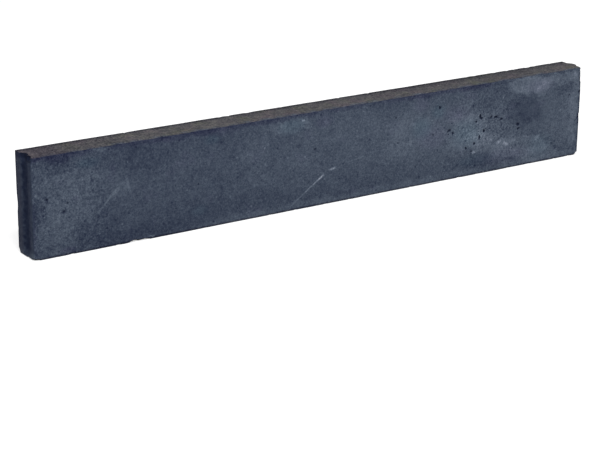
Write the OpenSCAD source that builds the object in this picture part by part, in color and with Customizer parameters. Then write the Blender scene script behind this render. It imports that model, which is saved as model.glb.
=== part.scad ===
// Concrete kerb stone, one cast piece standing on its bed.
// X runs along the stone from the groove end to the tongue end, Y from the front face to the back face,
// Z up. The origin is the middle of the bed, half way between the two end faces. Sizes in millimetres.

/* [Body] */
// Laying length, from end face to end face, without the tongue
laying_length = 1000; // [300:1:1500]
// Thickness, from the front face to the back face
thickness = 50; // [45:1:120]
// Height, from the bed to the top face
height = 150; // [80:1:400]

/* [Edges] */
// Radius of the four long edges, at the top and at the bed
long_edge_radius = 2; // [0.5:0.25:6]
// Radius of the four upright edges, at the two ends
end_edge_radius = 3; // [0.5:0.25:5]

/* [End joint] */
// Width of the tongue where it leaves the end face
tongue_width = 20; // [18:0.5:28]
// How far the tongue stands out of the end face
tongue_reach = 6; // [4:0.5:8]
// Room left between a tongue and the groove of the next stone
joint_clearance = 1; // [0.5:0.25:2]

/* [Hidden] */
// Distance from the middle to each end face
half_length = laying_length / 2;
// Radius of the tongue's round face, from its width and its reach
tongue_radius = (tongue_width * tongue_width / 4 + tongue_reach * tongue_reach) / (2 * tongue_reach);
// Distance from the centre line of the round face to the end face
tongue_inset = tongue_radius - tongue_reach;
// Radius of the groove, which takes the tongue of the next stone
groove_radius = tongue_radius + joint_clearance;
// Length by which cutting shapes run past the faces they cut
overrun = 20;
// Colour of the dry concrete
concrete = [0.30, 0.33, 0.38];
// Fineness of round faces
$fn = 96;

// Rectangle around the origin with rounded corners
module rounded_rectangle(width, depth, radius) {
    corner_x = width / 2 - radius;
    corner_y = depth / 2 - radius;
    union() {
        square([2 * corner_x, depth], center = true);
        square([width, 2 * corner_y], center = true);
        for (x = [-corner_x, corner_x], y = [-corner_y, corner_y])
            translate([x, y])
                circle(r = radius);
    }
}

// Section run along the stone, cut to its outline from above at both ends
module body() {
    intersection() {
        translate([-half_length - overrun, 0, height / 2])
            rotate([90, 0, 90])
                linear_extrude(height = laying_length + 2 * overrun)
                    rounded_rectangle(thickness, height, long_edge_radius);
        translate([0, 0, -overrun])
            linear_extrude(height = height + 2 * overrun)
                rounded_rectangle(laying_length, thickness, end_edge_radius);
    }
}

// Round tongue on the right-hand end, over the full height
module tongue() {
    translate([half_length - tongue_inset, 0, 0])
        cylinder(r = tongue_radius, h = height);
}

// Room for the tongue of the next stone in the left-hand end
module groove() {
    translate([-half_length - tongue_inset, 0, -overrun])
        cylinder(r = groove_radius, h = height + 2 * overrun);
}

module kerb_stone() {
    color(concrete)
        difference() {
            union() {
                body();
                tongue();
            }
            groove();
        }
}

kerb_stone();
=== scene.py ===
"""Looks of one concrete kerb stone that stands on its bed in a plain studio.

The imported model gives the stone's size. One dense mesh stands for the cast body: its groove, tongue, worn
arrises, chips and air holes are modelled, and its weathered concrete is drawn by nodes. Lengths are
millimetres in the classes below, and become metres where a mesh, a lamp or the camera is made.
"""

import logging
import math
from dataclasses import dataclass, field
from enum import Enum
from typing import Union

import bmesh
import bpy
import numpy as np
from mathutils import Matrix, Vector, noise


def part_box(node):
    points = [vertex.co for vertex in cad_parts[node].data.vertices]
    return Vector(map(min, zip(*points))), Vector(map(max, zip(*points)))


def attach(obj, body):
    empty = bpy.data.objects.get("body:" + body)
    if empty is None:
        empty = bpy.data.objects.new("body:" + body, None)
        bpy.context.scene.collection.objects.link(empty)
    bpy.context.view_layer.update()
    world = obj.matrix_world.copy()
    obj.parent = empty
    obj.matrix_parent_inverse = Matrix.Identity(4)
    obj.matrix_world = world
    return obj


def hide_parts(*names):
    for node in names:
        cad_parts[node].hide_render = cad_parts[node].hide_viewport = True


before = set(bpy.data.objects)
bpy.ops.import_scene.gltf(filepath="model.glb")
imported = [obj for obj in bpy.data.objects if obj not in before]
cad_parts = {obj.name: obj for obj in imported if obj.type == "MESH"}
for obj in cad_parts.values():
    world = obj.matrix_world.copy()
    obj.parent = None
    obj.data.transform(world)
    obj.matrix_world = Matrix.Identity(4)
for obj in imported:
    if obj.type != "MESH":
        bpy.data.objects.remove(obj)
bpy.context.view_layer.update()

LOG = logging.getLogger("kerb_stone")
NODE = "kerb_stone"
BODY = "root"
PIECE = "cast_stone"
MAP_NAME = "OFBake"
MM = 0.001
TINY = 1e-9
WHITE = (1.0, 1.0, 1.0, 1.0)

Socket = bpy.types.NodeSocket
Feed = Union[Socket, float, tuple[float, ...]]


class Side(Enum):
    """The stone's six sides, each as its axis and the way that it faces along that axis."""

    GROOVE_END = (0, -1)
    TONGUE_END = (0, 1)
    FRONT = (1, -1)
    BACK = (1, 1)
    BED = (2, -1)
    TOP = (2, 1)

    @property
    def axis(self) -> int:
        """Number of the axis that the side faces along."""
        return self.value[0]

    @property
    def outward(self) -> int:
        """1 where the side faces up its axis, and -1 where it faces down it."""
        return self.value[1]

    @property
    def across(self) -> int:
        """Number of the axis that runs over a long side, square to the stone's length."""
        return 3 - self.axis


class Tint(Enum):
    """Colours that a grey is multiplied by to tint it."""

    OLIVE = (0.99, 1.045, 0.87, 1.0)
    PINK = (1.065, 0.96, 1.04, 1.0)
    VIOLET = (1.07, 0.96, 1.06, 1.0)
    TEAL = (0.91, 1.03, 1.03, 1.0)
    BROWN = (1.12, 0.96, 0.82, 1.0)
    BUFF = (1.09, 0.98, 0.95, 1.0)


@dataclass(frozen=True)
class AirHole:
    """A hole that an air bubble left in a long side.

    Attributes:
        side: The side that it opens on.
        along: Its place along the stone, from the middle.
        across: Its height on the front or back, or its place across the top or bed.
        width: How wide it is along the stone.
        height: How wide it is the other way.
        depth: How far it goes in.
    """

    side: Side
    along: float
    across: float
    width: float
    height: float
    depth: float


@dataclass(frozen=True)
class HoleLimits:
    """Limits between which scattered air holes are drawn.

    Attributes:
        along: Place along the stone from its middle, as a share of its length.
        across: Place across the side from its low edge, as a share of its width.
        width: How wide a hole is along the stone.
        aspect: How wide it is the other way, as a share of that width.
        depth: How far every hole goes in, as a share of that width.
    """

    along: tuple[float, float] = (-0.48, 0.48)
    across: tuple[float, float] = (0.14, 0.86)
    width: tuple[float, float] = (1.8, 3.6)
    aspect: tuple[float, float] = (0.7, 1.2)
    depth: float = 0.5


@dataclass(frozen=True)
class Chip:
    """A bite out of an arris or a corner.

    Attributes:
        centre: The middle of the bite, on the arris.
        reach: How far it goes each way along X, Y and Z.
    """

    centre: tuple[float, float, float]
    reach: tuple[float, float, float]


@dataclass(frozen=True)
class Swell:
    """Smooth noise about zero that makes the stone's shape uneven.

    Attributes:
        size: About how wide one swell is.
        seed: A shift that tells one field of noise from another.
        strength: About the largest value.
    """

    size: float
    seed: float
    strength: float = 1.0

    def at(self, points: np.ndarray) -> np.ndarray:
        """Gives the noise at each point.

        Args:
            points: Places, a row each.

        Returns:
            A number for each point.
        """
        values = [noise.noise(Vector(place)) for place in points / self.size + self.seed]
        return self.strength * np.array(values)


@dataclass(frozen=True)
class Cloud:
    """A patch on the front face.

    Attributes:
        along: Its middle along the stone, from the stone's middle.
        up: Its middle above the bed.
        half_length: How far it goes along the stone.
        half_height: How far it goes up and down.
        strength: Grey levels that it adds, or its share of a tint.
        tilt: Degrees by which its right end is turned up.
    """

    along: float
    up: float
    half_length: float
    half_height: float
    strength: float
    tilt: float = 0.0


@dataclass(frozen=True)
class Scratch:
    """A straight pale mark on the front face.

    Attributes:
        start: Its faint end, along the stone and up.
        end: Its strong end, along the stone and up.
        width: How wide it is.
        strength: Grey levels that it adds at its strong end.
        fade: Share of that strength at its faint end.
    """

    start: tuple[float, float]
    end: tuple[float, float]
    width: float
    strength: float
    fade: float


def srgb(red: float, green: float, blue: float) -> tuple[float, float, float, float]:
    """Turns a colour as a screen shows it into the linear colour that a shader takes.

    Args:
        red: Red, from 0 to 255.
        green: Green, from 0 to 255.
        blue: Blue, from 0 to 255.

    Returns:
        Linear red, green and blue, and an alpha of 1.
    """
    linear = []
    for channel in (red / 255, green / 255, blue / 255):
        low = channel / 12.92
        high = ((channel + 0.055) / 1.055) ** 2.4
        linear.append(low if channel <= 0.04045 else high)
    return linear[0], linear[1], linear[2], 1.0


def graded(span: float, edge_steps: tuple[float, ...], step: float) -> np.ndarray:
    """Divides a span finely at both ends and evenly between them.

    Args:
        span: The length to divide.
        edge_steps: The steps from either end inwards.
        step: About the step between them.

    Returns:
        The places of the divisions, from 0 to span.
    """
    near = np.concatenate([[0.0], np.cumsum(edge_steps)])
    middle = span - 2 * near[-1]
    count = max(1, round(middle / step))
    between = near[-1] + middle * np.arange(1, count) / count
    return np.concatenate([near, between, span - near[::-1]])


def above_zero(values: np.ndarray, blend: float) -> np.ndarray:
    """Cuts values off at zero with a rounded corner.

    Args:
        values: The values to cut off.
        blend: How far from zero the rounding starts.

    Returns:
        The values, none below zero.
    """
    near = np.clip(blend - np.abs(values), 0.0, None) / blend
    return np.maximum(values, 0.0) + near**2 * blend / 4


class NodeSheet:
    """A material's or world's nodes, drawn by plain calls that each give the socket they end in."""

    def __init__(self, owner: Union[bpy.types.Material, bpy.types.World]) -> None:
        """Clears the owner's nodes, to draw them afresh."""
        owner.use_nodes = True
        self.tree = owner.node_tree
        self.tree.nodes.clear()

    def node(self, kind: str, **settings: object) -> bpy.types.Node:
        """Adds a node.

        Args:
            kind: The node's type, without its ShaderNode prefix.
            settings: Properties to set on it.

        Returns:
            The new node.
        """
        made = self.tree.nodes.new("ShaderNode" + kind)
        for name, value in settings.items():
            setattr(made, name, value)
        return made

    def feed(self, socket: Socket, source: Feed) -> None:
        """Links a socket to another, or sets its own value.

        Args:
            socket: The input.
            source: The output that it takes, or a plain value.
        """
        if isinstance(source, Socket):
            self.tree.links.new(source, socket)
        else:
            socket.default_value = source

    def math(self, operation: str, *terms: Feed) -> Socket:
        """Adds a sum on numbers.

        Args:
            operation: Blender's name for it.
            terms: What it works on.

        Returns:
            Its result.
        """
        made = self.node("Math", operation=operation)
        for socket, term in zip(made.inputs, terms):
            self.feed(socket, term)
        return made.outputs[0]

    def vector(self, operation: str, *terms: Feed) -> Socket:
        """Adds a sum on vectors.

        Args:
            operation: Blender's name for it.
            terms: What it works on.

        Returns:
            Its result, a number for a length or a dot product.
        """
        made = self.node("VectorMath", operation=operation)
        for socket, term in zip(made.inputs, terms):
            self.feed(socket, term)
        single = operation in ("LENGTH", "DOT_PRODUCT")
        return made.outputs["Value" if single else "Vector"]

    def grow(self, value: Feed, start: float, end: float, low: float = 0.0, high: float = 1.0) -> Socket:
        """Turns a value into one that grows smoothly between two marks.

        Args:
            value: What is measured.
            start: Where the growth starts.
            end: Where it ends.
            low: The result up to the start.
            high: The result from the end on.

        Returns:
            The result.
        """
        made = self.node("MapRange", interpolation_type="SMOOTHSTEP")
        for name, term in (("Value", value), ("From Min", start), ("From Max", end)):
            self.feed(made.inputs[name], term)
        self.feed(made.inputs["To Min"], low)
        self.feed(made.inputs["To Max"], high)
        return made.outputs["Result"]

    def fade(self, value: Feed, start: float, end: float, full: float = 1.0) -> Socket:
        """Turns a value into one that falls smoothly to zero between two marks.

        Args:
            value: What is measured.
            start: Where the fall starts.
            end: Where it ends.
            full: The result up to the start.

        Returns:
            The result.
        """
        return self.grow(value, start, end, low=full, high=0.0)

    def noise(
        self,
        place: Socket,
        size: float,
        detail: float = 2.0,
        stretch: tuple[float, float, float] = (1, 1, 1),
        twist: float = 0.0,
        strength: Feed = 1.0,
    ) -> Socket:
        """Adds cloudy noise about zero.

        Args:
            place: Where it is read, in millimetres.
            size: About how wide one cloud is.
            detail: How many finer layers it has.
            stretch: How many times longer the clouds are each way.
            twist: How far the clouds are drawn out into swirls.
            strength: What the noise is multiplied by.

        Returns:
            A number that mostly lies between -0.3 and 0.3 times the strength.
        """
        made = self.node("TexNoise")
        scale = tuple(1 / (size * times) for times in stretch)
        self.feed(made.inputs["Vector"], self.vector("MULTIPLY", place, scale))
        self.feed(made.inputs["Scale"], 1.0)
        self.feed(made.inputs["Detail"], detail)
        self.feed(made.inputs["Distortion"], twist)
        return self.scale(self.math("SUBTRACT", made.outputs[0], 0.5), strength)

    def specks(
        self, place: Socket, spacing: float, radius: float, share: float, strength: float
    ) -> Socket:
        """Adds sparse round specks.

        Args:
            place: Where they are read, in millimetres.
            spacing: About how far apart the seeds lie.
            radius: The largest radius of a speck.
            share: The share of seeds that carry a speck.
            strength: What a speck adds.

        Returns:
            The strength in a speck and 0 outside it.
        """
        made = self.node("TexVoronoi")
        self.feed(made.inputs["Vector"], place)
        self.feed(made.inputs["Scale"], 1 / spacing)
        chance = self.node("SeparateColor")
        self.feed(chance.inputs[0], made.outputs["Color"])
        kept = self.grow(chance.outputs[0], 1 - share, 1.0)
        edge = self.math("MULTIPLY", kept, radius / spacing)
        inside = self.math("SUBTRACT", edge, made.outputs["Distance"])
        rim = 0.35 * radius / spacing
        return self.grow(inside, 0.0, rim, high=strength)

    def blend(self, share: Feed, first: Feed, second: Feed, mode: str = "MIX") -> Socket:
        """Mixes two colours.

        Args:
            share: How much of the second there is.
            first: The first colour.
            second: The second colour.
            mode: Blender's name for the way of mixing.

        Returns:
            The mixed colour.
        """
        made = self.node("Mix", data_type="RGBA", blend_type=mode)
        self.feed(made.inputs[0], share)
        self.feed(made.inputs[6], first)
        self.feed(made.inputs[7], second)
        return made.outputs[2]

    def tint(self, colour: Socket, share: Feed, tint: Tint) -> Socket:
        """Tints a colour.

        Args:
            colour: The colour.
            share: How far it is tinted, 1 for fully.
            tint: What it is tinted with.

        Returns:
            The tinted colour.
        """
        return self.blend(share, colour, tint.value, "MULTIPLY")

    def between(self, share: Feed, first: Feed, second: Feed) -> Socket:
        """Mixes two numbers.

        Args:
            share: How much of the second there is.
            first: The first number.
            second: The second number.

        Returns:
            The mixed number.
        """
        made = self.node("Mix", data_type="FLOAT")
        self.feed(made.inputs[0], share)
        self.feed(made.inputs[2], first)
        self.feed(made.inputs[3], second)
        return made.outputs[0]

    def total(self, *terms: Feed) -> Socket:
        """Adds up numbers.

        Args:
            terms: The numbers, two or more.

        Returns:
            Their sum.
        """
        result = terms[0]
        for term in terms[1:]:
            result = self.math("ADD", result, term)
        return result

    def scale(self, value: Feed, times: Feed) -> Socket:
        """Multiplies two numbers."""
        return self.math("MULTIPLY", value, times)

    def ramp(self, position: Socket, stops: dict[float, tuple[float, float, float]]) -> Socket:
        """Turns a grey level into a colour.

        Args:
            position: The grey level, from 0 to 255.
            stops: Screen colours by grey level.

        Returns:
            The colour.
        """
        made = self.node("ValToRGB")
        elements = made.color_ramp.elements
        while len(elements) < len(stops):
            elements.new(1.0)
        for element, (level, colour) in zip(elements, sorted(stops.items())):
            element.position = level / 255
            element.color = srgb(*colour)
        self.feed(made.inputs[0], self.scale(position, 1 / 255))
        return made.outputs[0]

    def stray(self, place: Socket, size: float, reach: float) -> Socket:
        """Shifts places about, to make the outline of what is read there ragged.

        Args:
            place: The places, in millimetres.
            size: About how wide one bulge of the outline is.
            reach: Twice the furthest shift.

        Returns:
            The shifted places.
        """
        made = self.node("TexNoise")
        self.feed(made.inputs["Vector"], place)
        self.feed(made.inputs["Scale"], 1 / size)
        self.feed(made.inputs["Detail"], 4.0)
        shift = self.vector("SUBTRACT", made.outputs["Color"], (0.5, 0.5, 0.5))
        return self.vector("MULTIPLY_ADD", shift, (reach, reach, reach), place)

    def clouds(self, place: Socket, patches: tuple[Cloud, ...], core: float, rim: float) -> Socket:
        """Adds up patches on the front face.

        Args:
            place: Where they are read, in millimetres.
            patches: The patches.
            core: Share of a patch's reach up to which it has its full strength.
            rim: Share of its reach at which it ends.

        Returns:
            The sum of their strengths at each place.
        """
        result: Feed = 0.0
        for patch in patches:
            weight = self.fade(self.reach(place, patch), core, rim)
            result = self.math("MULTIPLY_ADD", weight, patch.strength, result)
        return result

    def reach(self, place: Socket, patch: Cloud) -> Socket:
        """Measures how far a place lies from a patch's middle.

        Args:
            place: The place, in millimetres.
            patch: The patch.

        Returns:
            The distance, 1 on the patch's outline.
        """
        if not patch.tilt:
            times = (1 / patch.half_length, 0.0, 1 / patch.half_height)
            shift = (-patch.along / patch.half_length, 0.0, -patch.up / patch.half_height)
            return self.vector("LENGTH", self.vector("MULTIPLY_ADD", place, times, shift))
        turn = math.radians(patch.tilt)
        ways = (
            Vector((math.cos(turn), 0.0, math.sin(turn))) / patch.half_length,
            Vector((-math.sin(turn), 0.0, math.cos(turn))) / patch.half_height,
        )
        middle = Vector((patch.along, 0.0, patch.up))
        squares: Feed = 0.0
        for way in ways:
            offset = self.math("SUBTRACT", self.vector("DOT_PRODUCT", place, way), middle.dot(way))
            squares = self.math("MULTIPLY_ADD", offset, offset, squares)
        return self.math("SQRT", squares)

    def scratches(self, place: Socket, marks: tuple[Scratch, ...]) -> Socket:
        """Adds up straight marks on the front face.

        Args:
            place: Where they are read, in millimetres.
            marks: The marks.

        Returns:
            The sum of their strengths at each place.
        """
        result: Feed = 0.0
        for mark in marks:
            start, end = Vector(mark.start), Vector(mark.end)
            half = (end - start).length / 2
            way = (end - start).normalized()
            middle = (start + end) / 2
            along = self.vector("DOT_PRODUCT", place, (way.x, 0.0, way.y))
            along = self.math("SUBTRACT", along, middle.dot(way))
            aside = self.vector("DOT_PRODUCT", place, (-way.y, 0.0, way.x))
            aside = self.math("SUBTRACT", aside, middle.dot(Vector((-way.y, way.x))))
            line = self.fade(self.math("ABSOLUTE", aside), 0.3 * mark.width, 0.7 * mark.width)
            ends = self.fade(self.math("ABSOLUTE", along), half - mark.width, half + mark.width)
            power = self.grow(along, -half, half, low=mark.fade * mark.strength, high=mark.strength)
            result = self.math("MULTIPLY_ADD", self.scale(line, ends), power, result)
        return result


@dataclass(frozen=True)
class WeatheredConcrete:
    """Slate grey concrete with lime bloom, a stained upper edge, scratches and a gritty warm grey top, with
    painted light and shade on its top, ends, upright arrises and foot.

    Attributes:
        half_length: Half the stone's length between its end faces.
        half_thickness: Half its thickness.
        height: Its height.
        lip: How far from the middle of an end the groove stops and its lip starts.
        slate: Colours of the cast faces by grey level.
        warm: Colours of the top by grey level.
        skin: How far below a face its own colour starts and stops to fade.
        front_grey: Grey level of the front under its patches.
        top_grey: Grey level of the top, lighter than the front partly as its own warm grey and partly as
            painted light from above.
        groove_grey: Grey level of the groove end's hollow, darker than the front partly as the end's own
            grey and partly as painted shade.
        tongue_greys: Grey levels of the tongue end, at its front arris and away from it.
        back_grey: Grey level of the back.
        bed_grey: Grey level of the bed.
        core_grey: Grey level below the skin, which chips and holes lay open.
        roughness: Middle roughness of the surface.
        sheen: How strongly the surface reflects.
        top_relief: How many times rougher the top is.
        pale_shift: How far off the front's pale specks are read, so that they miss the dark ones.
        grit_shift: The same for the top's pale specks.
        pink_shift: How far off the top's pinkish grains are read, so that they miss the olive ones.
        bloom: Broad soft patches of the front.
        sheets: Patches of the front with a clear edge.
        blots: Small spots of the front.
        stain_and_edge_shade: Staining on the front along its upper arris, and painted shade down its
            upright arrises at the two ends.
        mauve: Patches of the front with a violet tint.
        teal: Patches of the front with a green-blue tint.
        crust: Patches of the front that are grainier, or smoother, than the rest.
        marks: Scratches and smears of the front.
    """

    half_length: float
    half_thickness: float
    height: float
    lip: float
    slate: dict[float, tuple[float, float, float]] = field(
        default_factory=lambda: {
            20: (12, 17, 34),
            40: (30, 37, 57),
            60: (52, 60, 76),
            80: (72, 81, 95),
            100: (92, 101, 115),
            130: (123, 131, 146),
            190: (186, 190, 198),
        }
    )
    warm: dict[float, tuple[float, float, float]] = field(
        default_factory=lambda: {
            30: (28, 28, 35),
            60: (59, 59, 65),
            80: (80, 79, 83),
            100: (102, 100, 99),
            130: (134, 130, 124),
            180: (184, 179, 170),
        }
    )
    skin: tuple[float, float] = (0.45, 1.0)
    front_grey: float = 68.0
    top_grey: float = 78.0
    groove_grey: float = 41.0
    tongue_greys: tuple[float, float] = (54.0, 64.0)
    back_grey: float = 75.0
    bed_grey: float = 66.0
    core_grey: float = 43.0
    roughness: float = 0.86
    sheen: float = 0.08
    top_relief: float = 2.2
    pale_shift: tuple[float, float, float] = (13.0, 0.0, 41.0)
    grit_shift: tuple[float, float, float] = (31.0, 7.0, 3.0)
    pink_shift: tuple[float, float, float] = (90.0, 0.0, 0.0)
    bloom: tuple[Cloud, ...] = (
        Cloud(-450, 92, 62, 54, 3),
        Cloud(-468, 33, 42, 40, 5),
        Cloud(-357, 84, 22, 16, 6),
        Cloud(-332, 126, 85, 26, -6),
        Cloud(-351, 13, 110, 17, -7),
        Cloud(-143, 105, 32, 26, 2),
        Cloud(-23, 75, 170, 85, 6),
        Cloud(41, 116, 54, 36, 5),
        Cloud(148, 86, 55, 42, 6),
        Cloud(198, 75, 150, 90, 11),
        Cloud(253, 65, 60, 46, 9),
        Cloud(425, 75, 60, 28, -1),
        Cloud(380, 60, 120, 90, 7),
        Cloud(471, 70, 60, 90, 8),
    )
    sheets: tuple[Cloud, ...] = (
        Cloud(-442, 86, 64, 44, 6, 8),
        Cloud(-466, 29, 38, 34, 6, -30),
        Cloud(-490, 69, 13, 28, -11),
        Cloud(-460, 130, 22, 14, -8),
        Cloud(-77, 133, 44, 12, 12),
        Cloud(-151, 95, 14, 12, 5),
        Cloud(-128, 115, 18, 7, 5, -10),
        Cloud(266, 82, 40, 26, 4, -25),
        Cloud(284, 56, 28, 20, 9, -30),
        Cloud(327, 50, 36, 16, 6, -15),
        Cloud(261, 30, 46, 19, -8, -12),
        Cloud(387, 135, 50, 16, 22, -4),
        Cloud(413, 120, 13, 8, 10, -35),
        Cloud(455, 138, 46, 10, 15),
        Cloud(378, 94, 44, 25, -12, -6),
        Cloud(462, 118, 24, 12, -7),
        Cloud(368, 34, 70, 20, 14, -4),
        Cloud(311, 9, 26, 8, -9),
        Cloud(413, 14, 45, 14, 11),
        Cloud(469, 30, 34, 24, 4),
        Cloud(486, 84, 10, 78, 11),
    )
    blots: tuple[Cloud, ...] = (
        Cloud(-420.5, 88.5, 6, 3.5, -13),
        Cloud(-407.5, 103, 5, 3.5, -12),
        Cloud(-452, 65.5, 8, 4, -13),
        Cloud(-478.5, 86.5, 5, 5, -12),
        Cloud(-461, 88.5, 7, 5, -10),
        Cloud(-486.5, 74.5, 5, 3.5, -11),
        Cloud(-394, 86.5, 4, 3, -9),
        Cloud(-470, 121, 7, 6, -9),
        Cloud(-493.5, 95, 3, 3, 16),
        Cloud(-403.5, 110, 8, 4, 10, -30),
        Cloud(-413.5, 56.5, 6, 3, 8),
        Cloud(-208, 52.5, 3, 2.5, 14),
        Cloud(-174.5, 56.5, 4, 3, 10),
        Cloud(-119.5, 79.5, 3, 4, 18),
        Cloud(-91, 136, 4, 2.5, 14),
        Cloud(-81, 85.5, 3, 2.5, 14),
        Cloud(-61, 100, 6, 3, -11, -15),
        Cloud(-53, 138.5, 4, 1.9, 38),
        Cloud(-31, 90.5, 4, 3, -13, -40),
        Cloud(-19.5, 67.5, 5, 3, -11),
        Cloud(-12, 130, 4, 4, 13),
        Cloud(4, 98, 4, 2.5, 15),
        Cloud(30, 130, 4, 2.5, 10),
        Cloud(88, 20.5, 4, 3, 10),
        Cloud(142.5, 80.5, 4, 4, -10),
        Cloud(149.5, 73.5, 3, 7, 15),
        Cloud(193.5, 107, 5, 4, -8),
        Cloud(217, 61.5, 9, 6, -6),
        Cloud(226.5, 47.5, 7, 3, -7),
        Cloud(272, 115, 4.5, 3, -13),
        Cloud(277, 38.5, 4.5, 3, 36),
        Cloud(295, 44.5, 6, 4, -10),
        Cloud(328, 47.5, 7, 3.5, 26, 30),
        Cloud(343.5, 42, 8, 3, 28, -25),
        Cloud(359.5, 46.5, 8, 2, 18, 8),
        Cloud(312, 53.5, 5, 2.5, 14, -30),
        Cloud(365, 106.5, 5, 4, -9),
        Cloud(351, 84.5, 8, 2, -12),
        Cloud(389.5, 77.5, 5, 2.5, -9),
        Cloud(409, 43, 8, 5.5, 20, 25),
        Cloud(413.5, 95.5, 9, 1.2, 12),
        Cloud(456.5, 82.5, 3, 3, 14),
        Cloud(268, 122, 3.5, 3, 16),
        Cloud(333.5, 124, 3, 2, 18),
        Cloud(213.5, 31.5, 4, 3, 14),
        Cloud(163, 19.5, 3, 2.5, 12),
        Cloud(430.5, 24, 9, 6, 10),
        Cloud(443, 28, 4, 3, -14),
        Cloud(450, 21, 5, 4, -18),
        Cloud(461, 17, 6, 4, -15),
        Cloud(482.5, 96.5, 4, 5, 12),
        Cloud(497, 66, 3.5, 4, -36),
        Cloud(-314, 4.5, 6, 1.8, 34),
    )
    stain_and_edge_shade: tuple[Cloud, ...] = (
        Cloud(-491, 149, 12, 6, -9),
        Cloud(-458, 146, 26, 12, -11),
        Cloud(-426, 144, 10, 5, -5),
        Cloud(-392, 148, 16, 6, 18),
        Cloud(-345, 147, 28, 9, -2),
        Cloud(-265, 147, 60, 9, -6),
        Cloud(-190, 145, 34, 10, -6),
        Cloud(-135, 149, 40, 7, -5),
        Cloud(165, 148, 80, 7, -6),
        Cloud(270, 148, 55, 8, -7),
        Cloud(460, 150, 32, 4, -7),
        # Painted shade down the upright arrises at the groove and tongue ends.
        Cloud(-499, 50, 4, 42, -8),
        Cloud(498.8, 75, 2.6, 110, -24),
        Cloud(498.8, 126, 2.6, 28, -20),
    )
    mauve: tuple[Cloud, ...] = (
        Cloud(238, 107, 30, 16, 0.5),
        Cloud(193, 75, 35, 22, 0.5),
        Cloud(-15, 132, 18, 12, 0.6),
        Cloud(169, 132, 18, 14, 0.5),
        Cloud(411, 130, 34, 14, 0.4),
        Cloud(340, 22, 60, 16, 0.45),
        Cloud(-447, 8, 16, 5, 0.7),
    )
    teal: tuple[Cloud, ...] = (
        Cloud(170, 94, 22, 20, 0.8),
        Cloud(203, 116, 16, 14, 0.8),
        Cloud(-73, 133, 28, 14, 0.7),
        Cloud(260, 72, 36, 26, 0.7),
        Cloud(-413, 130, 22, 8, 0.8),
        Cloud(-211, 133, 16, 8, 0.8),
        Cloud(-234, 29, 16, 10, 0.6),
        Cloud(415, 30, 30, 22, 0.5),
        Cloud(279, 24, 40, 12, 0.5),
    )
    crust: tuple[Cloud, ...] = (
        Cloud(295, 74, 74, 40, 0.6),
        Cloud(405, 88, 60, 34, -0.4),
        Cloud(360, 30, 60, 22, 0.2),
    )
    marks: tuple[Scratch, ...] = (
        Scratch((-74.5, 8), (-15.5, 47.5), 2.4, 54, 0.32),
        Scratch((-26.5, 40.5), (-15.5, 47.5), 3.4, 26, 0.4),
        Scratch((-5.5, 53.5), (5.5, 55.5), 3.0, 60, 0.9),
        Scratch((27.5, 60.5), (59.5, 65.5), 2.0, 12, 0.6),
        Scratch((-400.5, 52.5), (-377, 76.5), 3.0, 20, 0.7),
        Scratch((-381, 73.5), (-363, 86.5), 5.0, 21, 0.7),
        Scratch((-362, 89.5), (-352, 95), 5.0, 12, 0.8),
        Scratch((-349, 78.5), (-353, 100), 4.0, 23, 0.5),
    )

    def near(self, sheet: NodeSheet, inset: Socket) -> Socket:
        """Gives 1 on a face and 0 below its skin, by how far a place lies inside the face."""
        return sheet.fade(inset, self.skin[0], self.skin[1])

    def edge_stain_and_shade(self, sheet: NodeSheet, place: Socket, along: Socket, up: Socket) -> Socket:
        """Draws the ragged stained band along the front's upper arris, and painted shade down its upright
        arrises.

        Args:
            sheet: The nodes to add to.
            place: The place, in millimetres.
            along: The place along the stone.
            up: The height above the bed.

        Returns:
            Grey levels to add, mostly below zero.
        """
        jagged = sheet.total(up, sheet.noise(place, 7.0, detail=4.0, strength=13.0))
        band = sheet.grow(jagged, self.height - 9.0, self.height - 4.5, high=-8.0)
        crest = sheet.grow(up, self.height - 3.2, self.height - 1.4, high=-6.0)
        left_end = sheet.grow(along, -200.0, -150.0, low=1.0, high=0.75)
        run = sheet.scale(sheet.fade(along, 295.0, 335.0), left_end)
        thin = sheet.grow(sheet.noise(place, 45.0, detail=3.0), -0.15, 0.15, low=0.35, high=1.4)
        return sheet.total(
            sheet.scale(sheet.total(band, crest), sheet.scale(run, thin)),
            sheet.clouds(sheet.stray(place, size=8.0, reach=14.0), self.stain_and_edge_shade, core=0.5, rim=1.15),
        )

    def foot_level(self, sheet: NodeSheet, place: Socket, along: Socket, up: Socket) -> Socket:
        """Draws a thin dark line of painted contact shadow along the front's foot and, past the left
        quarter, a pale strip over it.

        Args:
            sheet: The nodes to add to.
            place: The place, in millimetres.
            along: The place along the stone.
            up: The height above the bed.

        Returns:
            Grey levels to add.
        """
        jagged = sheet.total(up, sheet.noise(place, 6.0, detail=3.0, strength=5.0))
        # Painted contact shadow: a thin dark line along the foot.
        line = sheet.fade(jagged, 2.2, 4.2, full=-21.0)
        wavy = sheet.total(jagged, sheet.noise(place, 24.0, strength=22.0))
        strip = sheet.fade(wavy, 8.0, 17.0, full=12.0)
        return sheet.total(line, sheet.scale(strip, sheet.grow(along, -260.0, -190.0)))

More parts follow.
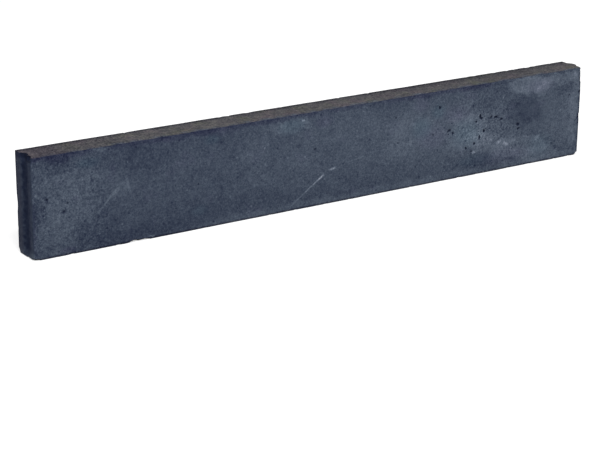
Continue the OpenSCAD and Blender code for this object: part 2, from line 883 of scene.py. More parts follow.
    def speckle(self, sheet: NodeSheet, place: Socket, along: Socket) -> Socket:
        """Draws the front's sandy grain, liveliest in the bloom at the groove end and round the air holes.

        Args:
            sheet: The nodes to add to.
            place: The place, in millimetres.
            along: The place along the stone.

        Returns:
            Grey levels to add.
        """
        restless = sheet.total(
            sheet.fade(along, -410.0, -360.0, full=0.3),
            sheet.grow(along, 150.0, 280.0, high=0.15),
            sheet.clouds(place, self.crust, core=0.4, rim=1.2),
            0.9,
        )
        grain = sheet.total(
            sheet.noise(place, 1.6, detail=1.0, strength=48.0),
            sheet.noise(place, 2.9, detail=2.0, strength=44.0),
            sheet.noise(place, 8.5, detail=3.0, twist=0.8, strength=20.0),
        )
        dark = sheet.specks(place, spacing=7.0, radius=2.4, share=0.45, strength=-15.0)
        aside = sheet.vector("ADD", place, self.pale_shift)
        pale = sheet.specks(aside, spacing=12.0, radius=2.0, share=0.4, strength=22.0)
        in_bloom = sheet.fade(along, -405.0, -370.0, full=34.0)
        blotch = sheet.noise(place, 10.0, detail=3.0, twist=1.2, strength=in_bloom)
        return sheet.total(sheet.scale(sheet.total(grain, dark, pale), restless), blotch)

    def front_level(self, sheet: NodeSheet, place: Socket, along: Socket, up: Socket) -> Socket:
        """Draws the front's bloom, scratches and speckle, and a thin dark line of painted contact shadow
        along its foot.

        Args:
            sheet: The nodes to add to.
            place: The place, in millimetres.
            along: The place along the stone.
            up: The height above the bed.

        Returns:
            The grey level.
        """
        patches = sheet.total(
            sheet.clouds(sheet.stray(place, size=30.0, reach=46.0), self.bloom, core=0.3, rim=1.25),
            sheet.clouds(sheet.stray(place, size=11.0, reach=24.0), self.sheets, core=0.65, rim=1.12),
            sheet.clouds(sheet.stray(place, size=4.0, reach=9.0), self.blots, core=0.35, rim=1.15),
        )
        swirl = sheet.noise(place, 30.0, detail=5.0, twist=0.7, strength=22.0)
        streak = sheet.noise(place, 3.0, detail=2.0, stretch=(8, 1, 1), strength=9.0)
        low = sheet.fade(up, 15.0, 60.0, full=-5.0)
        fine_breaks = sheet.grow(sheet.noise(place, 2.2, detail=1.0), -0.2, 0.05, low=0.5)
        breaks = sheet.grow(sheet.noise(place, 7.0, detail=2.0), -0.14, 0.1, low=0.55, high=1.1)
        marks = sheet.scale(sheet.scratches(place, self.marks), sheet.scale(fine_breaks, breaks))
        foot = self.foot_level(sheet, place, along, up)
        calm = sheet.total(self.front_grey, patches, swirl, streak, low, foot)
        return sheet.total(calm, self.speckle(sheet, place, along), marks)

    def end_level(
        self, sheet: NodeSheet, place: Socket, along: Socket, depth: Socket, up: Socket
    ) -> Socket:
        """Draws the groove end, whose hollow is painted dark as painted shade between its paler lips and
        above its burr, and the tongue end.

        Args:
            sheet: The nodes to add to.
            place: The place, in millimetres.
            along: The place along the stone.
            depth: The place across its thickness.
            up: The height above the bed.

        Returns:
            The grey level.
        """
        ragged = sheet.noise(place, 7.0, detail=3.0, strength=9.0)
        across = sheet.total(depth, ragged)
        # Painted light on the lips against the hollow's painted shade, most of all on the far lip.
        far_lip = sheet.grow(across, self.lip - 3.0, self.lip - 0.5, high=15.0)
        near_lip = sheet.fade(across, -self.lip - 6.5, -self.lip - 3.5, full=9.0)
        arris = sheet.fade(depth, 1.0 - self.half_thickness, 7.0 - self.half_thickness, full=6.0)
        # Dark staining under the top arris.
        edge_darkening = sheet.grow(sheet.total(up, ragged), self.height - 10.0, self.height - 4.0, high=-14.0)
        # Painted shade along the far arris.
        rim = sheet.grow(depth, self.half_thickness - 5.6, self.half_thickness - 3.2, high=-17.0)
        # Painted light over the burr and the near lip's foot.
        burr = sheet.fade(sheet.total(up, ragged), 5.0, 14.0, full=17.0)
        near_foot = sheet.fade(up, 8.0, 18.0, full=15.0)
        near_foot = sheet.scale(near_foot, sheet.fade(depth, -13.0, -8.0))
        hollow = sheet.total(self.groove_grey, far_lip, near_lip, arris, edge_darkening, rim, burr, near_foot)
        near, away = self.tongue_greys
        tongue_side = sheet.grow(
            depth, 1.0 - self.half_thickness, 6.0 - self.half_thickness, low=near, high=away
        )
        return sheet.between(sheet.grow(along, -1.0, 1.0), hollow, tongue_side)

    def top_colour(self, sheet: NodeSheet, place: Socket, along: Socket, depth: Socket) -> Socket:
        """Draws the gritty top, with grains from olive to pinkish grey and bluish towards the front.

        Args:
            sheet: The nodes to add to.
            place: The place, in millimetres.
            along: The place along the stone.
            depth: The place across its thickness.

        Returns:
            The colour.
        """
        ragged = sheet.noise(place, 8.0, detail=3.0, strength=12.0)
        across = sheet.total(depth, ragged)
        shade = sheet.grow(depth, -10.0, 12.0, low=-1.0, high=-9.0)
        gritty = sheet.grow(along, -350.0, -250.0, low=120.0, high=90.0)
        aside = sheet.vector("ADD", place, self.grit_shift)
        level = sheet.total(
            self.top_grey,
            sheet.grow(along, -460.0, -260.0, low=-6.0, high=2.0),
            sheet.scale(sheet.grow(along, 40.0, 140.0), shade),
            sheet.grow(along, 420.0, 470.0, high=9.0),
            sheet.noise(place, 60.0, detail=3.0, strength=20.0),
            sheet.noise(place, 9.0, detail=3.0, strength=50.0),
            sheet.noise(place, 2.6, detail=2.0, strength=gritty),
            sheet.specks(place, spacing=6.0, radius=2.2, share=0.4, strength=-26.0),
            sheet.specks(aside, spacing=8.0, radius=2.0, share=0.35, strength=26.0),
            sheet.grow(across, self.half_thickness - 15.0, self.half_thickness - 4.0, high=-30.0),
            sheet.fade(depth, 0.8 - self.half_thickness, 2.8 - self.half_thickness, full=-5.0),
        )
        grey = sheet.ramp(level, self.warm)
        olive = sheet.grow(sheet.noise(place, 34.0, detail=4.0), -0.05, 0.2)
        aside = sheet.vector("ADD", place, self.pink_shift)
        pink = sheet.grow(sheet.noise(aside, 26.0, detail=4.0), -0.02, 0.2)
        by_groove = sheet.fade(along, -470.0, -420.0)
        olive = sheet.between(by_groove, olive, 0.0)
        pink = sheet.between(by_groove, pink, 0.9)
        grey = sheet.tint(grey, olive, Tint.OLIVE)
        grey = sheet.tint(grey, pink, Tint.PINK)
        patchy = sheet.grow(sheet.noise(place, 22.0, detail=3.0), -0.1, 0.14, low=0.05, high=0.75)
        patchy = sheet.scale(patchy, sheet.between(by_groove, 1.0, 0.4))
        front_strip = sheet.fade(across, 1.0 - self.half_thickness, 10.0 - self.half_thickness)
        return sheet.blend(sheet.scale(front_strip, patchy), grey, sheet.ramp(level, self.slate))

    def relief(self, sheet: NodeSheet, place: Socket, on_top: Socket) -> Socket:
        """Draws sand grains and pin holes as a fine relief.

        Args:
            sheet: The nodes to add to.
            place: The place, in millimetres.
            on_top: 1 on the top, which is rougher.

        Returns:
            The surface's normal.
        """
        grain = sheet.total(
            sheet.noise(place, 1.3, detail=2.0, strength=0.5),
            sheet.noise(place, 4.5, detail=3.0, strength=0.7),
        )
        grain = sheet.scale(grain, sheet.between(on_top, 1.0, self.top_relief))
        pins = sheet.specks(place, spacing=6.0, radius=1.1, share=0.5, strength=-0.4)
        made = sheet.node("Bump")
        made.inputs["Strength"].default_value = 1.0
        made.inputs["Distance"].default_value = MM
        sheet.feed(made.inputs["Height"], sheet.total(grain, pins))
        return made.outputs["Normal"]

    def material(self) -> bpy.types.Material:
        """Draws the whole finish.

        Returns:
            The stone's material.
        """
        finish = bpy.data.materials.new("weathered_concrete")
        sheet = NodeSheet(finish)
        metres = sheet.node("TexCoord").outputs["Object"]
        place = sheet.vector("MULTIPLY", metres, (1 / MM, 1 / MM, 1 / MM))
        parts = sheet.node("SeparateXYZ")
        sheet.feed(parts.inputs[0], place)
        along, depth, up = parts.outputs
        on_front = self.near(sheet, sheet.math("ADD", depth, self.half_thickness))
        from_middle = sheet.math("ABSOLUTE", along)
        behind = self.near(sheet, sheet.math("SUBTRACT", self.half_thickness, depth))
        off_ends = sheet.fade(from_middle, self.half_length - 4.0, self.half_length - 2.5)
        on_back = sheet.scale(behind, off_ends)
        on_top = self.near(sheet, sheet.math("SUBTRACT", self.height, up))
        on_bed = self.near(sheet, up)

        mottle = sheet.noise(place, 5.0, detail=3.0, strength=40.0)
        drift = sheet.noise(place, 55.0, detail=4.0, strength=50.0)
        at_end = sheet.grow(from_middle, self.half_length - 14.0, self.half_length - 11.0)
        level = sheet.between(at_end, self.core_grey, self.end_level(sheet, place, along, depth, up))
        level = sheet.between(on_bed, level, sheet.total(self.bed_grey, drift))
        level = sheet.between(on_back, level, sheet.total(self.back_grey, drift))
        level = sheet.total(level, mottle)
        # Staining along the front's upper arris, and painted shade down its upright arrises.
        edge_darkening = self.edge_stain_and_shade(sheet, place, along, up)
        front = sheet.total(self.front_level(sheet, place, along, up), edge_darkening)
        level = sheet.between(on_front, level, front)

        colour = sheet.ramp(level, self.slate)
        violet = sheet.total(
            sheet.clouds(place, self.mauve, core=0.3, rim=1.25),
            sheet.grow(sheet.noise(place, 30.0, detail=3.0), 0.08, 0.3, high=0.5),
            sheet.scale(edge_darkening, sheet.fade(along, 300.0, 340.0, full=-0.05)),
        )
        bluish = sheet.clouds(place, self.teal, core=0.3, rim=1.25)
        colour = sheet.tint(colour, sheet.scale(violet, on_front), Tint.VIOLET)
        colour = sheet.tint(colour, sheet.scale(bluish, on_front), Tint.TEAL)
        brown = sheet.fade(up, 1.5, 4.0, full=0.8)
        colour = sheet.tint(colour, sheet.scale(brown, on_front), Tint.BROWN)
        # Painted light: the groove end's far lip gets the warm buff tint of the light it is painted lit by.
        lip_face = sheet.fade(along, 2.5 - self.half_length, 4.0 - self.half_length)
        far_lip = sheet.scale(sheet.grow(depth, self.lip - 2.0, self.lip + 1.0), lip_face)
        colour = sheet.tint(colour, far_lip, Tint.BUFF)
        colour = sheet.blend(on_top, colour, self.top_colour(sheet, place, along, depth))

        shader = sheet.node("BsdfPrincipled")
        shader.inputs["Specular IOR Level"].default_value = self.sheen
        sheet.feed(shader.inputs["Base Color"], colour)
        roughness = sheet.total(self.roughness, sheet.noise(place, 12.0, detail=3.0, strength=0.35))
        sheet.feed(shader.inputs["Roughness"], roughness)
        sheet.feed(shader.inputs["Normal"], self.relief(sheet, place, on_top))
        output = sheet.node("OutputMaterial")
        sheet.feed(output.inputs["Surface"], shader.outputs["BSDF"])
        return finish


@dataclass
class KerbStone:
    """One kerb stone cast in one piece, with a groove at low X and a tongue at high X.

    Attributes:
        length: Length between the end faces.
        thickness: Thickness, along Y.
        height: Height above the bed.
        tongue_reach: How far the tongue stands proud.
        tongue_width: Width of the tongue where it leaves the end face.
        joint_clearance: Room between a tongue and the groove that it enters.
        joint_fade: How far in from an end the mesh follows the joint's curve.
        lip_blend: How far the lips of the joint are rounded over.
        burr: Heights above the bed at which the burr in the groove's foot starts and stops to thin out.
        arris_radius: Radius of the long arrises where they are little worn.
        worn_radius: Radius of the arris between the front and the groove end.
        end_radius: Radius of the other arrises round the ends.
        arris_limits: Smallest and largest radius of a worn arris.
        wear: How the radius of an arris comes and goes, as a share of it.
        nibbles: Noise that nibbles an arris where it is strong.
        nibble_start: How strong that noise has to be.
        nibble_growth: Radius added for each unit of it above that.
        burr_edge: How the burr's height comes and goes.
        unevenness: How far the cast faces lie below true.
        broad_dips: Broad dips of the faces, as a share of the unevenness.
        close_dips: Close dips of the faces, as a share of the unevenness.
        chip_bulges: Bulges of a chip's wall, as a share of its reach.
        chip_grain: Finer bulges of the wall.
        hole_edges: How a hole's outline comes and goes, as a share of its size.
        tolerance: How close to a side's plane a point counts as on it.
        edge_steps: Spacing of the mesh from each arris inwards.
        steps: Spacing of the mesh away from the arrises, along X, Y and Z.
        hole_cuts: Cuts made in each mesh edge round a hole.
        hole_seed: Seed of the scattered holes.
        scattered: How many small holes each long side gets.
        hole_limits: Where the scattered holes may lie and how large they are.
        holes: The holes of the front that are listed one by one.
        chips: The chips that are listed one by one.
    """

    length: float
    thickness: float
    height: float
    tongue_reach: float
    tongue_width: float = 20.0
    joint_clearance: float = 1.0
    joint_fade: float = 60.0
    lip_blend: float = 3.2
    burr: tuple[float, float] = (2.0, 11.0)
    arris_radius: float = 1.7
    worn_radius: float = 2.8
    end_radius: float = 1.4
    arris_limits: tuple[float, float] = (0.7, 4.5)
    wear: Swell = Swell(42.0, 0.37, 0.5)
    nibbles: Swell = Swell(7.5, 11.3)
    nibble_start: float = 0.3
    nibble_growth: float = 9.0
    burr_edge: Swell = Swell(9.0, 4.4, 1.5)
    unevenness: float = 0.3
    broad_dips: Swell = Swell(85.0, 3.1, 0.35)
    close_dips: Swell = Swell(19.0, 5.7, 0.15)
    chip_bulges: Swell = Swell(4.0, 8.9, 0.3)
    chip_grain: Swell = Swell(1.7, 2.3, 0.2)
    hole_edges: Swell = Swell(2.3, 6.1, 0.65)
    tolerance: float = 1e-3
    edge_steps: tuple[float, ...] = (0.6, 0.6, 0.7, 0.8, 1.0, 1.3, 1.7)
    steps: tuple[float, float, float] = (3.1, 1.8, 4.2)
    hole_cuts: int = 4
    hole_seed: int = 7
    scattered: dict[Side, int] = field(
        default_factory=lambda: {Side.FRONT: 8, Side.BACK: 30, Side.TOP: 14, Side.BED: 10}
    )
    hole_limits: HoleLimits = HoleLimits()
    holes: tuple[AirHole, ...] = (
        AirHole(Side.FRONT, 287.5, 96.5, 4.6, 8.5, 3.4),
        AirHole(Side.FRONT, 290.5, 92.5, 4.2, 4.0, 2.8),
        AirHole(Side.FRONT, 280.5, 88.5, 4.2, 3.0, 2.2),
        AirHole(Side.FRONT, 296.5, 70.5, 5.0, 5.0, 2.8),
        AirHole(Side.FRONT, 287.5, 61.5, 4.0, 8.0, 2.8),
        AirHole(Side.FRONT, 277.5, 52.5, 5.0, 4.0, 2.6),
        AirHole(Side.FRONT, 260.5, 47, 4.2, 4.0, 2.4),
        AirHole(Side.FRONT, 272, 40, 3.4, 3.0, 2.0),
        AirHole(Side.FRONT, 226, 81.5, 4.4, 4.2, 2.4),
        AirHole(Side.FRONT, 233, 76.5, 4.4, 4.0, 2.4),
        AirHole(Side.FRONT, 224, 75.5, 3.2, 2.6, 1.8),
        AirHole(Side.FRONT, 193, 79.5, 3.4, 3.2, 2.0),
        AirHole(Side.FRONT, 205.5, 122, 4.2, 5.4, 2.4),
        AirHole(Side.FRONT, 310.5, 91.5, 4.8, 3.4, 2.6),
        AirHole(Side.FRONT, 320.5, 90.5, 8.0, 3.4, 2.6),
        AirHole(Side.FRONT, 332, 85.5, 6.4, 3.0, 2.4),
        AirHole(Side.FRONT, 367.5, 71.5, 6.4, 5.0, 2.8),
        AirHole(Side.FRONT, 368.5, 64.5, 6.0, 3.4, 2.4),
        AirHole(Side.FRONT, -31, 90.5, 3.0, 3.2, 1.8),
        AirHole(Side.FRONT, -477.5, 86.5, 3.6, 3.4, 1.8),
        AirHole(Side.FRONT, -452, 65.5, 4.4, 2.6, 1.8),
    )
    chips: tuple[Chip, ...] = (
        Chip((-341, -25, 0), (11, 9, 3.6)),
        Chip((-327, -25, 0), (11, 8, 2.6)),
        Chip((-500, -15, 150), (5.5, 9, 7)),
        Chip((-500, -25, 150), (4, 4, 5)),
        Chip((-500, -25, 0), (9.5, 9, 4.5)),
        Chip((-500, 25, 0), (5, 6, 8)),
        Chip((502, -27, 152), (6, 6, 46)),
        Chip((500, -25, 67), (3.2, 3.2, 4.0)),
        Chip((500, -25, 0), (6, 5, 5)),
        Chip((-120, 25, 150), (9, 3, 2.6)),
        Chip((310, 25, 150), (6, 2.6, 2.4)),
        Chip((215, 25, 0), (14, 3.2, 3.0)),
    )

    @classmethod
    def from_frame(cls) -> "KerbStone":
        """Takes the stone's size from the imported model.

        Returns:
            A stone of that size.
        """
        low, high = (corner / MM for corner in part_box(NODE))
        length = -2 * low.x
        return cls(length, high.y - low.y, high.z - low.z, high.x - length / 2)

    @property
    def box(self) -> tuple[tuple[float, float, float], tuple[float, float, float]]:
        """Lowest and highest corner of the plain box that the stone is shaped from."""
        half_length, half_thickness = self.length / 2, self.thickness / 2
        return (-half_length, -half_thickness, 0.0), (half_length, half_thickness, self.height)

    @property
    def joint_inset(self) -> float:
        """How far inside the end face the centre of the tongue's arc lies."""
        return self.tongue_radius - self.tongue_reach

    @property
    def tongue_radius(self) -> float:
        """Radius of the tongue's arc."""
        return (self.tongue_width**2 / 4 + self.tongue_reach**2) / (2 * self.tongue_reach)

    @property
    def lip(self) -> float:
        """How far from the middle of the end face the groove stops."""
        radius = self.tongue_radius + self.joint_clearance
        return math.sqrt(radius**2 - self.joint_inset**2)

    def arc_rise(self, across: np.ndarray, radius: float) -> np.ndarray:
        """Gives how far an arc of the joint stands off the plane of the end face.

        Args:
            across: Places across the stone's thickness.
            radius: The arc's radius.

        Returns:
            The distance, zero beside the arc.
        """
        inside = np.clip(radius**2 - across**2, 0.0, None)
        return above_zero(np.sqrt(inside) - self.joint_inset, self.lip_blend)

    def lattice(self) -> tuple[np.ndarray, np.ndarray]:
        """Lays a grid over a plain box of the stone's size.

        Returns:
            The grid's points, and the four points of each of its faces.
        """
        places = []
        for low, high, step in zip(*self.box, self.steps):
            places.append(low + graded(high - low, self.edge_steps, step))
        shape = tuple(len(line) for line in places)
        faces = []
        for side in Side:
            first, second = (side.axis + 1) % 3, (side.axis + 2) % 3
            counts = np.arange(shape[first] - 1), np.arange(shape[second] - 1)
            row, column = np.meshgrid(*counts, indexing="ij")
            turns = [(0, 0), (1, 0), (1, 1), (0, 1)][:: side.outward]
            corners = []
            for ahead, beside in turns:
                index = [None, None, None]
                index[side.axis] = np.full(row.shape, shape[side.axis] - 1 if side.outward > 0 else 0)
                index[first] = row + ahead
                index[second] = column + beside
                corners.append(np.ravel_multi_index(tuple(index), shape).ravel())
            faces.append(np.stack(corners, axis=1))
        used, renumbered = np.unique(np.concatenate(faces), return_inverse=True)
        grid = np.unravel_index(used, shape)
        points = np.stack([line[number] for line, number in zip(places, grid)], axis=1)
        return points, renumbered.reshape(-1, 4)

    def all_holes(self) -> list[AirHole]:
        """Joins the listed holes and small ones scattered from a seed.

        Returns:
            Every hole.
        """
        chance = np.random.default_rng(self.hole_seed)
        limits = self.hole_limits
        made = list(self.holes)
        for side, count in self.scattered.items():
            low, high = (corner[side.across] for corner in self.box)
            for _ in range(count):
                along = chance.uniform(*limits.along) * self.length
                across = low + chance.uniform(*limits.across) * (high - low)
                width = chance.uniform(*limits.width)
                height = width * chance.uniform(*limits.aspect)
                made.append(AirHole(side, along, across, width, height, limits.depth * width))
        return made

    def refined(self, mesh: bpy.types.Mesh, holes: list[AirHole]) -> None:
        """Cuts the mesh finer round the holes.

        Args:
            mesh: The mesh of the plain box.
            holes: The holes.
        """
        margin = 1.6
        net = bmesh.new()
        net.from_mesh(mesh)
        middles = np.array([face.calc_center_median() for face in net.faces])
        chosen = np.zeros(len(middles), bool)
        for hole in holes:
            on_side = self.on_side(hole.side, middles)
            near_along = np.abs(middles[:, 0] - hole.along) < hole.width / 2 + margin
            near_across = np.abs(middles[:, hole.side.across] - hole.across) < hole.height / 2 + margin
            chosen |= on_side & near_along & near_across
        net.faces.ensure_lookup_table()
        edges = {edge for number in np.flatnonzero(chosen) for edge in net.faces[number].edges}
        ordered = sorted(edges, key=lambda edge: edge.index)
        bmesh.ops.subdivide_edges(net, edges=ordered, cuts=self.hole_cuts, use_grid_fill=True)
        net.to_mesh(mesh)
        net.free()

    def plane(self, side: Side) -> float:
        """Gives where a side's plane lies on its axis."""
        low, high = self.box
        return (high if side.outward > 0 else low)[side.axis]

    def on_side(self, side: Side, flat: np.ndarray) -> np.ndarray:
        """Tells which points of the plain box lie on a side."""
        return np.abs(flat[:, side.axis] - self.plane(side)) < self.tolerance

    def rounded(self, flat: np.ndarray) -> np.ndarray:
        """Rounds the box's arrises over, more where they are worn.

        Args:
            flat: Points of the plain box.

        Returns:
            The points on the rounded box.
        """
        low, high = (np.array(corner) for corner in self.box)
        halves = (high - low) / 2
        middle = (high + low) / 2
        worn = 1 + self.wear.at(flat)
        nibbled = self.nibble_growth * np.clip(self.nibbles.at(flat) - self.nibble_start, 0.0, None)
        inset = np.abs(flat - middle) - halves
        by_worn_arris = (flat[:, 0] < 0) & (flat[:, 1] < 0)
        end_radius = np.where(by_worn_arris, self.worn_radius, self.end_radius)
        at_end = np.clip(1 + inset[:, 0] / (3 * end_radius), 0.0, 1.0)
        plain = self.arris_radius + (end_radius - self.arris_radius) * at_end
        radius = np.clip(plain * worn + nibbled, *self.arris_limits)[:, None]
        over = np.clip(inset + radius, 0.0, None)
        reach = np.linalg.norm(over, axis=1)[:, None]
        turned = np.where(over > 0, -radius + radius * over / np.maximum(reach, TINY), inset)
        return middle + np.sign(flat - middle) * (halves + turned)

    def jointed(self, points: np.ndarray) -> np.ndarray:
        """Draws the ends in to the groove, which a burr closes at its foot, and out to the tongue.

        Args:
            points: Points of the rounded box.

        Returns:
            The points with the joint at either end.
        """
        half = self.length / 2
        along, across = points[:, 0], points[:, 1]
        follow_groove = np.clip(1 - (along + half) / self.joint_fade, 0.0, 1.0)
        follow_tongue = np.clip(1 - (half - along) / self.joint_fade, 0.0, 1.0)
        ragged_up = points[:, 2] + self.burr_edge.at(points)
        start, stop = self.burr
        clear = np.clip((ragged_up - start) / (stop - start), 0.0, 1.0)
        clear = clear**2 * (3 - 2 * clear)
        groove = self.arc_rise(across, self.tongue_radius + self.joint_clearance) * clear
        tongue = self.arc_rise(across, self.tongue_radius)
        moved = points.copy()
        moved[:, 0] += groove * follow_groove + tongue * follow_tongue
        return moved

    def uneven(self, flat: np.ndarray, points: np.ndarray) -> np.ndarray:
        """Lets the cast faces dip a little below true.

        Args:
            flat: The same points on the plain box.
            points: Points of the stone.

        Returns:
            The points with uneven faces.
        """
        dip = self.unevenness * (0.5 + self.broad_dips.at(flat) + self.close_dips.at(flat))
        moved = points.copy()
        for side in (Side.FRONT, Side.BACK, Side.TOP):
            on_side = self.on_side(side, flat)
            moved[on_side, side.axis] -= side.outward * np.clip(dip[on_side], 0.0, None)
        return moved

    def chipped(self, points: np.ndarray) -> np.ndarray:
        """Knocks the chips out of the arrises and corners.

        Args:
            points: Points of the stone.

        Returns:
            The points, with those inside a chip pushed to its wall.
        """
        moved = points.copy()
        rough = 1 + self.chip_bulges.at(points) + self.chip_grain.at(points)
        for chip in self.chips:
            centre, reach = np.array(chip.centre), np.array(chip.reach)
            offset = (moved - centre) / reach
            distance = np.linalg.norm(offset, axis=1)
            inside = distance < rough
            wall = offset[inside] / np.maximum(distance[inside], TINY)[:, None] * rough[inside][:, None]
            moved[inside] = centre + wall * reach
        return moved

    def pitted(self, flat: np.ndarray, points: np.ndarray, holes: list[AirHole]) -> np.ndarray:
        """Sinks the air holes into the faces.

        Args:
            flat: The same points on the plain box.
            points: Points of the stone.
            holes: The holes.

        Returns:
            The points, with those in a hole pushed in.
        """
        moved = points.copy()
        ragged = 1 + self.hole_edges.at(flat)
        for hole in holes:
            side = hole.side
            along = (flat[:, 0] - hole.along) / (hole.width / 2)
            across = (flat[:, side.across] - hole.across) / (hole.height / 2)
            reach = np.hypot(along, across) / ragged
            inside = self.on_side(side, flat) & (reach < 1)
            sunk = hole.depth * np.sqrt(1 - reach[inside] ** 2)
            moved[inside, side.axis] -= side.outward * sunk
        return moved

    def lay_out_map(self, mesh: bpy.types.Mesh, flat: np.ndarray) -> None:
        """Lays the six sides flat beside each other on the mesh's map.

        Args:
            mesh: The stone's mesh.
            flat: Its points on the plain box.
        """
        gap = 6.0
        starts = np.empty(len(mesh.polygons), np.int32)
        mesh.polygons.foreach_get("loop_start", starts)
        counts = np.empty(len(mesh.polygons), np.int32)
        mesh.polygons.foreach_get("loop_total", counts)
        corners = np.empty(len(mesh.loops), np.int32)
        mesh.loops.foreach_get("vertex_index", corners)
        places = flat[corners]
        row_heights = (self.height, self.height, self.thickness, self.thickness, self.thickness)
        row_starts = gap + np.concatenate([[0.0], np.cumsum(np.array(row_heights) + gap)])
        rows = {
            Side.FRONT: row_starts[0],
            Side.BACK: row_starts[1],
            Side.TOP: row_starts[2],
            Side.BED: row_starts[3],
            Side.GROOVE_END: row_starts[4],
            Side.TONGUE_END: row_starts[4],
        }
        spread = np.zeros((len(corners), 2))
        for side in Side:
            on_side = np.logical_and.reduceat(self.on_side(side, places), starts)
            here = np.repeat(on_side, counts)
            if side.axis == 0:
                shift = gap + (self.height + gap) * (side is Side.TONGUE_END)
                spread[here, 0] = shift + places[here, 2]
                spread[here, 1] = rows[side] + self.thickness / 2 + places[here, 1]
            else:
                low = self.box[0][side.across]
                spread[here, 0] = gap + self.length / 2 + places[here, 0]
                spread[here, 1] = rows[side] + places[here, side.across] - low
        spread /= (self.length + 2 * gap, row_starts[-1])
        layer = mesh.uv_layers.new(name=MAP_NAME)
        layer.data.foreach_set("uv", spread.astype(np.float32).ravel())

    def build(self) -> bpy.types.Object:
        """Makes the stone's mesh.

        Returns:
            The piece, not yet dressed.
        """
        holes = self.all_holes()
        points, faces = self.lattice()
        mesh = bpy.data.meshes.new(PIECE)
        mesh.from_pydata(points.tolist(), [], faces.tolist())
        self.refined(mesh, holes)
        flat = np.empty(len(mesh.vertices) * 3, np.float32)
        mesh.vertices.foreach_get("co", flat)
        flat = flat.reshape(-1, 3).astype(float)
        shaped = self.jointed(self.rounded(flat))
        shaped = self.chipped(self.uneven(flat, shaped))
        shaped = self.pitted(flat, shaped, holes)
        self.lay_out_map(mesh, flat)
        mesh.vertices.foreach_set("co", (shaped * MM).astype(np.float32).ravel())
        mesh.shade_smooth()
        mesh.update()
        piece = bpy.data.objects.new(PIECE, mesh)
        bpy.context.scene.collection.objects.link(piece)
        return piece

    def dress(self, piece: bpy.types.Object) -> None:
        """Gives the piece its finish, its body and its place in the model.

        Args:
            piece: The stone.
        """
        finish = WeatheredConcrete(self.length / 2, self.thickness / 2, self.height, self.lip)
        piece.data.materials.append(finish.material())
        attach(piece, BODY)
        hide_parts(NODE)


@dataclass(frozen=True)
class SoftBox:
    """A square lamp that points at the stone.

    Attributes:
        name: What it is called.
        azimuth: Degrees round from the front, to the right.
        elevation: Degrees above the floor.
        distance: Metres from the stone.
        width: Metres along a side.
        watts: Its power.
    """

    name: str
    azimuth: float
    elevation: float
    distance: float
    width: float
    watts: float


def outward_from(azimuth: float, elevation: float) -> Vector:
    """Gives the way from the stone to a camera or lamp.

    Args:
        azimuth: Degrees round from the front, to the right.
        elevation: Degrees above the floor.

    Returns:
        A vector of length 1.
    """
    turn, rise = math.radians(azimuth), math.radians(elevation)
    return Vector((math.sin(turn) * math.cos(rise), -math.cos(turn) * math.cos(rise), math.sin(rise)))


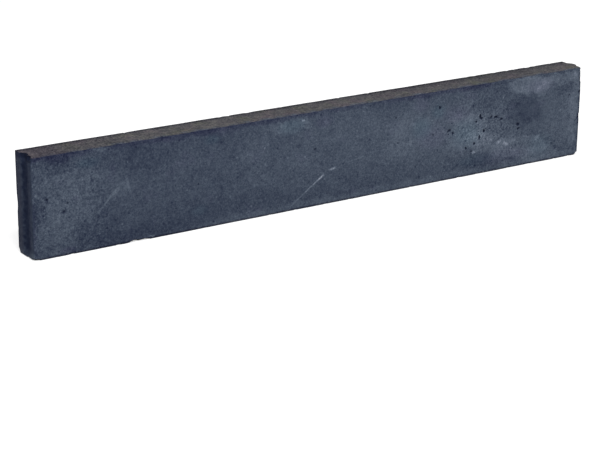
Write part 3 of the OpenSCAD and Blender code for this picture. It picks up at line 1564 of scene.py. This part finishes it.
@dataclass(frozen=True)
class Studio:
    """A white floor, soft lamps and a camera, in metres.

    Attributes:
        floor_size: Side of the floor.
        floor_grey: Share of light that the floor gives back.
        floor_lift: Light that the floor adds where the camera sees it, to bring it to white.
        sky: Strength of the even light from all round.
        lamps: The soft boxes.
        lamp_aim: What the lamps point at.
        azimuth: The camera's place, in degrees round from the front, to the right.
        elevation: The camera's place, in degrees above the floor.
        roll: How far the camera leans, in degrees.
        distance: The camera's distance from its aim.
        aim: The point in the middle of the picture.
        focal_length: The lens, in millimetres.
        sensor: The sensor's width, in millimetres.
    """

    floor_size: float = 14.0
    floor_grey: float = 0.8
    floor_lift: float = 0.5
    sky: float = 0.45
    lamps: tuple[SoftBox, ...] = (
        SoftBox("key_lamp", -22.0, 48.0, 4.0, 2.4, 112.0),
        SoftBox("fill_lamp", 55.0, 30.0, 4.0, 2.4, 14.0),
    )
    lamp_aim: tuple[float, float, float] = (0.0, 0.0, 0.075)
    azimuth: float = -33.70
    elevation: float = 18.74
    roll: float = 0.55
    distance: float = 2.758
    aim: tuple[float, float, float] = (-0.0488, -0.012, -0.0305)
    focal_length: float = 108.1
    sensor: float = 36.0

    def seen_share(self, sheet: NodeSheet) -> Socket:
        """Gives 1 for a ray that shows the background and 0 for one that lights the stone."""
        path = sheet.node("LightPath")
        seen = sheet.math("MAXIMUM", path.outputs["Is Camera Ray"], path.outputs["Is Glossy Ray"])
        return sheet.math("MAXIMUM", seen, path.outputs["Is Transmission Ray"])

    def build_floor(self) -> bpy.types.Object:
        """Makes the floor, which is white to the camera and keeps the stone's shadow.

        Returns:
            The floor.
        """
        half = self.floor_size / 2
        mesh = bpy.data.meshes.new("studio_floor")
        corners = [(-half, -half, 0), (half, -half, 0), (half, half, 0), (-half, half, 0)]
        mesh.from_pydata(corners, [], [(0, 1, 2, 3)])
        floor = bpy.data.objects.new("studio_floor", mesh)
        bpy.context.scene.collection.objects.link(floor)
        paint = bpy.data.materials.new("floor_paint")
        sheet = NodeSheet(paint)
        matt = sheet.node("BsdfDiffuse")
        matt.inputs["Color"].default_value = (self.floor_grey, self.floor_grey, self.floor_grey, 1.0)
        lift = sheet.node("Emission")
        lift.inputs["Color"].default_value = WHITE
        sheet.feed(lift.inputs["Strength"], sheet.scale(self.seen_share(sheet), self.floor_lift))
        both = sheet.node("AddShader")
        sheet.feed(both.inputs[0], matt.outputs[0])
        sheet.feed(both.inputs[1], lift.outputs[0])
        sheet.feed(sheet.node("OutputMaterial").inputs["Surface"], both.outputs[0])
        mesh.materials.append(paint)
        return floor

    def build_sky(self) -> bpy.types.World:
        """Makes the even light from all round, which is white to the camera.

        Returns:
            The world.
        """
        world = bpy.data.worlds.new("studio_sky")
        sheet = NodeSheet(world)
        background = sheet.node("Background")
        background.inputs["Color"].default_value = WHITE
        strength = sheet.between(self.seen_share(sheet), self.sky, 1.0)
        sheet.feed(background.inputs["Strength"], strength)
        sheet.feed(sheet.node("OutputWorld").inputs["Surface"], background.outputs[0])
        bpy.context.scene.world = world
        return world

    def build_lamp(self, box: SoftBox) -> bpy.types.Object:
        """Hangs a soft box.

        Args:
            box: What it is like.

        Returns:
            The lamp.
        """
        light = bpy.data.lights.new(box.name, "AREA")
        light.shape = "SQUARE"
        light.size = box.width
        light.energy = box.watts
        lamp = bpy.data.objects.new(box.name, light)
        way = outward_from(box.azimuth, box.elevation)
        lamp.location = Vector(self.lamp_aim) + way * box.distance
        lamp.rotation_mode = "QUATERNION"
        lamp.rotation_quaternion = way.to_track_quat("Z", "Y")
        bpy.context.scene.collection.objects.link(lamp)
        return lamp

    def build_camera(self) -> bpy.types.Object:
        """Sets the camera where the stone was pictured from.

        Returns:
            The camera.
        """
        lens = bpy.data.cameras.new("photo_camera")
        lens.sensor_fit = "HORIZONTAL"
        lens.sensor_width = self.sensor
        lens.lens = self.focal_length
        camera = bpy.data.objects.new("photo_camera", lens)
        way = outward_from(self.azimuth, self.elevation)
        upright = way.to_track_quat("Z", "Y").to_matrix().to_4x4()
        lean = Matrix.Rotation(math.radians(self.roll), 4, "Z")
        camera.matrix_world = Matrix.Translation(Vector(self.aim) + way * self.distance) @ upright @ lean
        bpy.context.scene.collection.objects.link(camera)
        bpy.context.scene.camera = camera
        return camera

    def build(self) -> None:
        """Sets up the floor, the lamps, the sky and the camera."""
        self.build_floor()
        self.build_sky()
        for box in self.lamps:
            self.build_lamp(box)
        self.build_camera()
        bpy.context.scene.view_settings.view_transform = "Standard"


def main() -> None:
    """Builds the studio and the stone, and reports the piece."""
    logging.basicConfig(level=logging.INFO, format="%(message)s")
    Studio().build()
    stone = KerbStone.from_frame()
    piece = stone.build()
    stone.dress(piece)
    piece.data.calc_loop_triangles()
    LOG.info("%s: %d triangles, rides on %s", piece.name, len(piece.data.loop_triangles), BODY)


if __name__ == "__main__":
    main()
